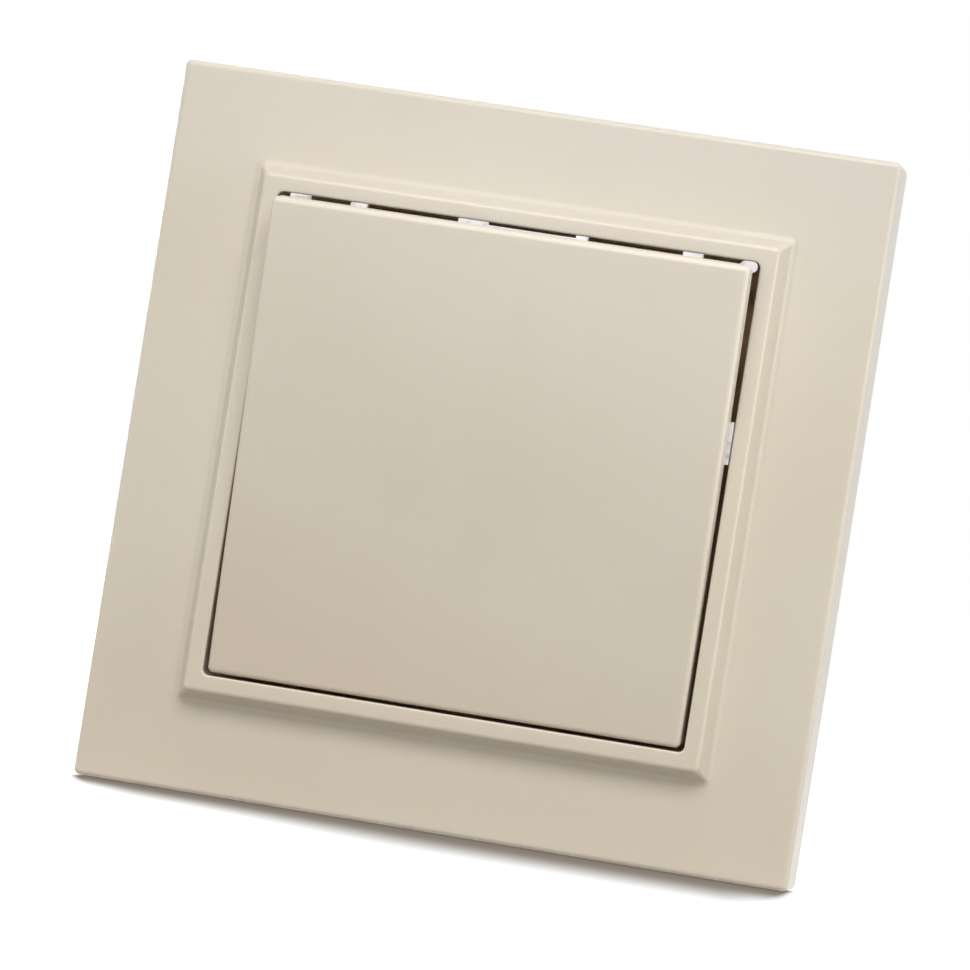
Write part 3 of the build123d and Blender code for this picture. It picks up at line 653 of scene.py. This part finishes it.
def makeScrew(kind, name, node, body, length, axes, origin):
    s, h = screws[kind], panHead
    shank = gridMesh(name, placed(threadGrid(s, length), axes, origin))
    section = roundedProfile([
        (h["capRadius"], -h["lean"], 0, 0), (s["headRadius"], 0.0, h["lowRound"], 0),
        (s["headRadius"], s["head"], s["round"], 0), (h["capRadius"], s["head"], 0, 0),
    ], closed=False, support=fineSupport)
    section[0, 1] = 0.0  # the lean is there for the low edge's rounding alone
    carve(shank, gridMesh("head", placed(turnedGrid(section[:, :2]), axes, origin)), "UNION")
    reach, half, floor = s["headRadius"] + h["slotPast"], s["slot"] / 2, s["head"] - s["slotDepth"]
    above = s["head"] + h["slotPast"]
    bars = [((-reach, -half, floor), (reach, half, above))]
    if s["cross"]:
        bars.append(((-half, -reach, floor), (half, reach, above)))
    for low, high in bars:
        carve(shank, boxesMesh("slot", [low], [high], axes, origin), "DIFFERENCE")
    return dress(shank, node, body, "zincSteel", crease=38)


clawSet = {"screwX": 22.0, "seatOut": 1.2, "endDeep": 18.0}
terminalSet = {"deep": 14.9, "seatUp": 20.05, "endUp": 16.5}
for side, sign in (("left", -1), ("right", 1)):
    seat = (sign * clawSet["screwX"], -clawSet["seatOut"], 0)
    makeScrew("claw", "clawScrew" + side.capitalize(), "claw_screw_" + side, "claw_screw_" + side,
              clawSet["seatOut"] + clawSet["endDeep"], wallAxes, seat)
for end, sign, axes in (("common", 1, upAxes), ("switched", -1, downAxes)):
    seat = (0, terminalSet["deep"], sign * terminalSet["seatUp"])
    makeScrew("terminal", "terminalScrew" + end.capitalize(), "terminal_screw_" + end, "screw_" + end,
              terminalSet["seatUp"] - terminalSet["endUp"], axes, seat)
print("screws made")

# Rivets: a shank with a domed head at each end, four alike
rivet = {"x": 16.0, "z": 18.0, "shank": 1.2, "headRadius": 2.2, "head": 0.9, "frontSeat": 3.0,
         "rearSeat": -3.0, "domeSteps": 7, "domeEnd": 0.97, "domePower": 2.2, "sides": 32}


def makeRivets():
    r = rivet
    lift = np.linspace(0, 1, r["domeSteps"])
    # dome: radius falls with the square root as the height climbs, like a flattened ellipse
    domeRadius = r["headRadius"] * np.sqrt(np.clip(1 - (r["domeEnd"] * lift) ** r["domePower"], 0, 1))
    front = np.column_stack([domeRadius, r["frontSeat"] + r["head"] * lift])
    rear = np.column_stack([domeRadius, r["rearSeat"] - r["head"] * lift])[::-1]
    shank = np.array([(r["headRadius"], r["rearSeat"]), (r["shank"], r["rearSeat"]),
                      (r["shank"], r["frontSeat"]), (r["headRadius"], r["frontSeat"])])
    one = turnedGrid(np.vstack([rear[:-1], shank, front[1:]]), r["sides"])
    spots = np.array([(x, z, 0) for x in (-r["x"], r["x"]) for z in (-r["z"], r["z"])], float)
    points = one.reshape(1, -1, 3) + spots[:, None]
    faces = gridFaces(*one.shape[:2], copies=len(spots))
    piece = rawMesh("rivets", placed(points.reshape(-1, 3), wallAxes), faces)
    return dress(piece, "rivets", "base", "zincSteel", crease=50)


# Claw pins: plain round pins with rounded ends
pin = {"x": 26.0, "deep": 14.0, "radius": 0.9, "half": 6.4, "edge": 0.2, "capRadius": 0.2, "sides": 32}


def makePins():
    p = pin
    section = roundedProfile([
        (p["capRadius"], -p["half"], 0, 0), (p["radius"], -p["half"], p["edge"], 0),
        (p["radius"], p["half"], p["edge"], 0), (p["capRadius"], p["half"], 0, 0),
    ], closed=False, support=fineSupport)
    for side, sign in (("left", -1), ("right", 1)):
        grid = placed(turnedGrid(section[:, :2], p["sides"]), upAxes, (sign * p["x"], p["deep"], 0))
        dress(gridMesh("clawPin" + side.capitalize(), grid), "claw_pin_" + side, "base", "zincSteel")


# Contact rivets: a shallow crowned disc on the blade and one on the switched strip
contacts = {"radius": 1.4, "thick": 0.8, "crown": 0.25, "z": -7.0, "bladeDeep": 9.6, "bladeSeat": 0.8,
            "stripDeep": 11.3, "capShare": 0.06, "capRadius": 0.1, "steps": 9, "sides": 40}


def makeContacts():
    c = contacts
    share = np.linspace(1, c["capShare"], c["steps"])
    # crown: the height falls by the square of the way out from the middle
    top = np.column_stack([c["radius"] * share, c["thick"] - c["crown"] * share ** 2])
    grid = turnedGrid(np.vstack([[(c["capRadius"], 0.0), (c["radius"], 0.0)], top]), c["sides"])
    fixed = placed(grid, wallAxes, (0, c["stripDeep"], c["z"]))
    dress(gridMesh("fixedContact", fixed), "fixed_contact", "base", "contactSilver")
    bladeAxes = turned(-rockerKey["tilt"])
    bladeRear = bladeAxes * np.array([[1], [-1], [-1]])
    seat = placed([[0, c["z"], c["bladeSeat"]]], bladeAxes, (0, c["bladeDeep"], 0))[0]
    moving = placed(grid, bladeRear, seat)
    dress(gridMesh("movingContact", moving), "moving_contact", "contact", "contactSilver")


makeRivets()
makePins()
makeContacts()
print("rivets, pins and contacts made")

# Pieces whose solid is already the true form: merged, their flats joined up, and every hard edge eased by a
# small round of the width given
easedEdges = {
    "carrier": ("base", "brownPlastic", 0.02), "housing": ("base", "greyPlastic", 0.18),
    "support_strap": ("base", "zincSteel", 0.12), "cradle": ("rocker", "whitePlastic", 0.08),
    "contact_blade": ("contact", "rolledBrass", 0.08), "common_terminal": ("base", "rolledBrass", 0.08),
    "switched_terminal": ("base", "rolledBrass", 0.08),
    "clamp_cage_common": ("cage_common", "zincSteel", 0.1),
    "clamp_cage_switched": ("cage_switched", "zincSteel", 0.1),
    "claw_left": ("claw_left", "zincSteel", 0.1), "claw_right": ("claw_right", "zincSteel", 0.1),
    "claw_nut_left": ("nut_left", "zincSteel", 0.15), "claw_nut_right": ("nut_right", "zincSteel", 0.15),
}
easing = {"merge": 0.002, "flat": 0.6, "crease": 30, "hardFrom": 40, "segments": 2}

# The carrier's rim is pushed out to the frame's opening, so that no light shows through the slit between them
carrierRim = {"half": 27.36, "meets": 27.43, "near": 0.01}


def meetFrame(mesh):
    c = carrierRim
    points = np.empty(3 * len(mesh.vertices))
    mesh.vertices.foreach_get("co", points)
    points = points.reshape(-1, 3)
    onRim = np.abs(np.abs(points) - c["half"] * mm) < c["near"] * mm
    onRim[:, 1] = False
    points[onRim] = np.sign(points[onRim]) * c["meets"] * mm
    mesh.vertices.foreach_set("co", points.ravel())
    return int(onRim.any(axis=1).sum())


def easedCopy(node, body, finish, width):
    e = easing
    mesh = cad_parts[node].data.copy()
    if node == "carrier":
        print("carrier rim points moved:", meetFrame(mesh))
    work = bmesh.new()
    work.from_mesh(mesh)
    bmesh.ops.remove_doubles(work, verts=work.verts, dist=e["merge"] * mm)
    bmesh.ops.dissolve_limit(work, angle_limit=math.radians(e["flat"]), verts=work.verts, edges=work.edges)
    work.to_mesh(mesh)
    work.free()
    words = node.split("_")
    piece = bpy.data.objects.new(words[0] + "".join(w.capitalize() for w in words[1:]), mesh)
    bpy.context.scene.collection.objects.link(piece)
    dress(piece, node, body, finish, crease=e["crease"])
    ease = piece.modifiers.new("ease", "BEVEL")
    ease.limit_method, ease.angle_limit = "ANGLE", math.radians(e["hardFrom"])
    ease.width, ease.segments, ease.use_clamp_overlap = width * mm, e["segments"], True
    ease.harden_normals = True
    return piece


for node, (body, finish, width) in easedEdges.items():
    easedCopy(node, body, finish, width)
print("eased copies made:", len(easedEdges))

# Stage: a pale floor under the lower edge, with a soft shadow of the frame painted on it, in front
floorLook = {
    "gap": 0.1, "reach": 1500.0, "rough": 0.9, "glow": 0.95,
    "tone": 0.36, "nearTone": 0.50, "nearStart": 2.0, "nearEnd": 9.0,
    # contact: the colour of the shadow painted in front of the lower edge, from near to far
    "contact": (0.190, 0.164, 0.136, 1), "near": 3.0, "far": 49.0,
    "squeeze": 0.75, "squeezeFrom": -40.0, "squeezeTo": 5.0, "endSqueeze": 0.9, "endLength": 9.0,
    "frontY": -8.5, "backY": 0.0, "backSoft": 1.0, "halfX": 40.9, "skew": 0.15, "shrink": 0.06,
    "sideSoft": 0.7, "softGrowth": 0.14, "endSoft": 0.7,
}


def makeFloor():
    f = floorLook
    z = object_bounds()[0].z / mm - f["gap"]
    r = f["reach"]
    floor = rawMesh("floor", [(-r, -r, z), (r, -r, z), (r, r, z), (-r, r, z)], [[0, 1, 2, 3]])
    if floor.data.polygons[0].normal.z < 0:
        floor.data.flip_normals()
    finish = Finish("paleFloor", Roughness=f["rough"], Specular_IOR_Level=0.0)
    x, y = (axis / mm for axis in finish.axes(finish.coords())[:2])
    # how far a point lies in front of the face, and how far outside the painted shade, which drifts right and
    # narrows
    ahead = (f["frontY"] - y).atLeast(0.0)
    offset = abs(x - ahead * f["skew"])
    aside = offset + ahead * f["shrink"] - f["halfX"]
    # the painted shade is shorter over its left half and close to both ends
    ends = finish.span(offset, f["halfX"] - f["endLength"], f["halfX"], 0.0, f["endSqueeze"])
    reach = ahead * (1.0 + finish.span(x, f["squeezeFrom"], f["squeezeTo"], f["squeeze"], 0.0) + ends)
    inner = -f["sideSoft"] - ahead * f["softGrowth"]
    beside = finish.span(aside, inner, f["endSoft"], 1.0, 0.0)
    behind = finish.span(y, f["backY"] - f["backSoft"], f["backY"], 1.0, 0.0)
    shade = finish.span(reach, f["near"], f["far"], 1.0, 0.0) * (beside * behind)
    path = finish.outlets("ShaderNodeLightPath")
    seen = path["Is Camera Ray"]
    mirrored = path["Is Glossy Ray"] + path["Is Transmission Ray"]
    # the floor close in front throws more light back up at the lower edge
    plain, bright = (f["tone"],) * 3 + (1,), (f["nearTone"],) * 3 + (1,)
    dark = tuple(f["tone"] * c for c in f["contact"][:3]) + (1,)
    close = finish.span(ahead, f["nearStart"], f["nearEnd"], 1.0, 0.0)
    tone = finish.blend(close * (1.0 - seen), plain, bright)
    # the painted shadow darkens the floor's colour and its glow where the camera sees it
    finish.wear(Base_Color=finish.blend(shade * seen, tone, dark))
    colour = finish.blend(shade * seen, (1, 1, 1, 1), f["contact"])
    strength = (seen + mirrored) * f["glow"]
    glow = finish.node("ShaderNodeEmission", values={"Color": colour, "Strength": strength})
    both = finish.node("ShaderNodeAddShader", values={0: Wire(finish, finish.shader.outputs[0]), 1: glow})
    # clear from below, so that the part is seen from there too
    under = finish.node("ShaderNodeNewGeometry", out="Backfacing")
    clear = finish.node("ShaderNodeBsdfTransparent")
    sheet = finish.node("ShaderNodeMixShader", values={0: under, 1: both, 2: clear})
    finish.feed(finish.tree.nodes["Material Output"].inputs["Surface"], sheet)
    floor.data.materials.append(finish.material)


makeFloor()

# Light: an even white room, a wide key above and in front, a small front card for the sheen, and cards above,
# at both sides and behind
studio = {
    "ambient": 0.19, "room": (1.0, 0.99, 0.98, 1), "aim": (0, -8, 0),
    "lamps": {
        "keyBox": {"place": (130, -790, 640), "size": (800, 440), "power": 7.4},
        "frontCard": {"place": (-35, -330, 70), "size": (150, 60), "power": 0.13},
        "topCard": {"place": (0, -60, 300), "size": (220, 120), "power": 0.20},
        "leftCard": {"place": (-420, -130, 40), "size": (300, 300), "power": 0.42},
        "rightCard": {"place": (420, -60, 40), "size": (300, 300), "power": 0.95},
        "backCard": {"place": (-330, 640, 70), "size": (420, 420), "power": 2.6},
    },
}


def makeLight():
    s = studio
    world = bpy.data.worlds.new("studio")
    bpy.context.scene.world = world
    world.use_nodes = True
    room = Nodes(world.node_tree)
    back, out = room.tree.nodes["Background"], room.tree.nodes["World Output"]
    room.feed(back.inputs["Color"], s["room"])
    room.feed(back.inputs["Strength"], s["ambient"])
    # the camera, metal and glass see plain white
    path = room.outlets("ShaderNodeLightPath")
    seen = path["Is Camera Ray"].atLeast(path["Is Glossy Ray"]).atLeast(path["Is Transmission Ray"])
    white = room.node("ShaderNodeBackground", values={"Color": (1, 1, 1, 1)})
    mix = room.node("ShaderNodeMixShader", values={0: seen, 1: Wire(room, back.outputs[0]), 2: white})
    room.feed(out.inputs["Surface"], mix)
    aim = Vector(s["aim"]) * mm
    for name, card in s["lamps"].items():
        lamp = bpy.data.lights.new(name, "AREA")
        lamp.shape, lamp.energy = "RECTANGLE", card["power"]
        lamp.size, lamp.size_y = card["size"][0] * mm, card["size"][1] * mm
        box = bpy.data.objects.new(name, lamp)
        bpy.context.scene.collection.objects.link(box)
        box.location = Vector(card["place"]) * mm
        box.rotation_euler = (aim - box.location).to_track_quat("-Z", "Y").to_euler()


# Camera: a long lens a little to the right, rolled as the photograph is
view = {"eye": (86.53, -601.33, -7.67), "yaw": 8.265, "pitch": -0.586, "roll": 9.0, "lens": 198.91,
        "sensor": 36.0, "clipStart": 0.01, "clipEnd": 20.0}


def makeCamera():
    v = view
    yaw, pitch, roll = (math.radians(v[k]) for k in ("yaw", "pitch", "roll"))
    ahead = Vector((-math.sin(yaw) * math.cos(pitch), math.cos(yaw) * math.cos(pitch), -math.sin(pitch)))
    level = Vector((math.cos(yaw), math.sin(yaw), 0))
    up = level.cross(ahead)
    right = level * math.cos(roll) + up * math.sin(roll)
    above = -level * math.sin(roll) + up * math.cos(roll)
    data = bpy.data.cameras.new("camera")
    data.lens, data.sensor_width = v["lens"], v["sensor"]
    data.clip_start, data.clip_end = v["clipStart"], v["clipEnd"]
    camera = bpy.data.objects.new("camera", data)
    bpy.context.scene.collection.objects.link(camera)
    turn = Matrix((right, above, -ahead)).transposed().to_4x4()
    camera.matrix_world = Matrix.Translation(Vector(v["eye"]) * mm) @ turn
    bpy.context.scene.camera = camera


makeLight()
makeCamera()
bpy.context.scene.view_settings.view_transform = "Standard"
print("stage, light and camera ready")
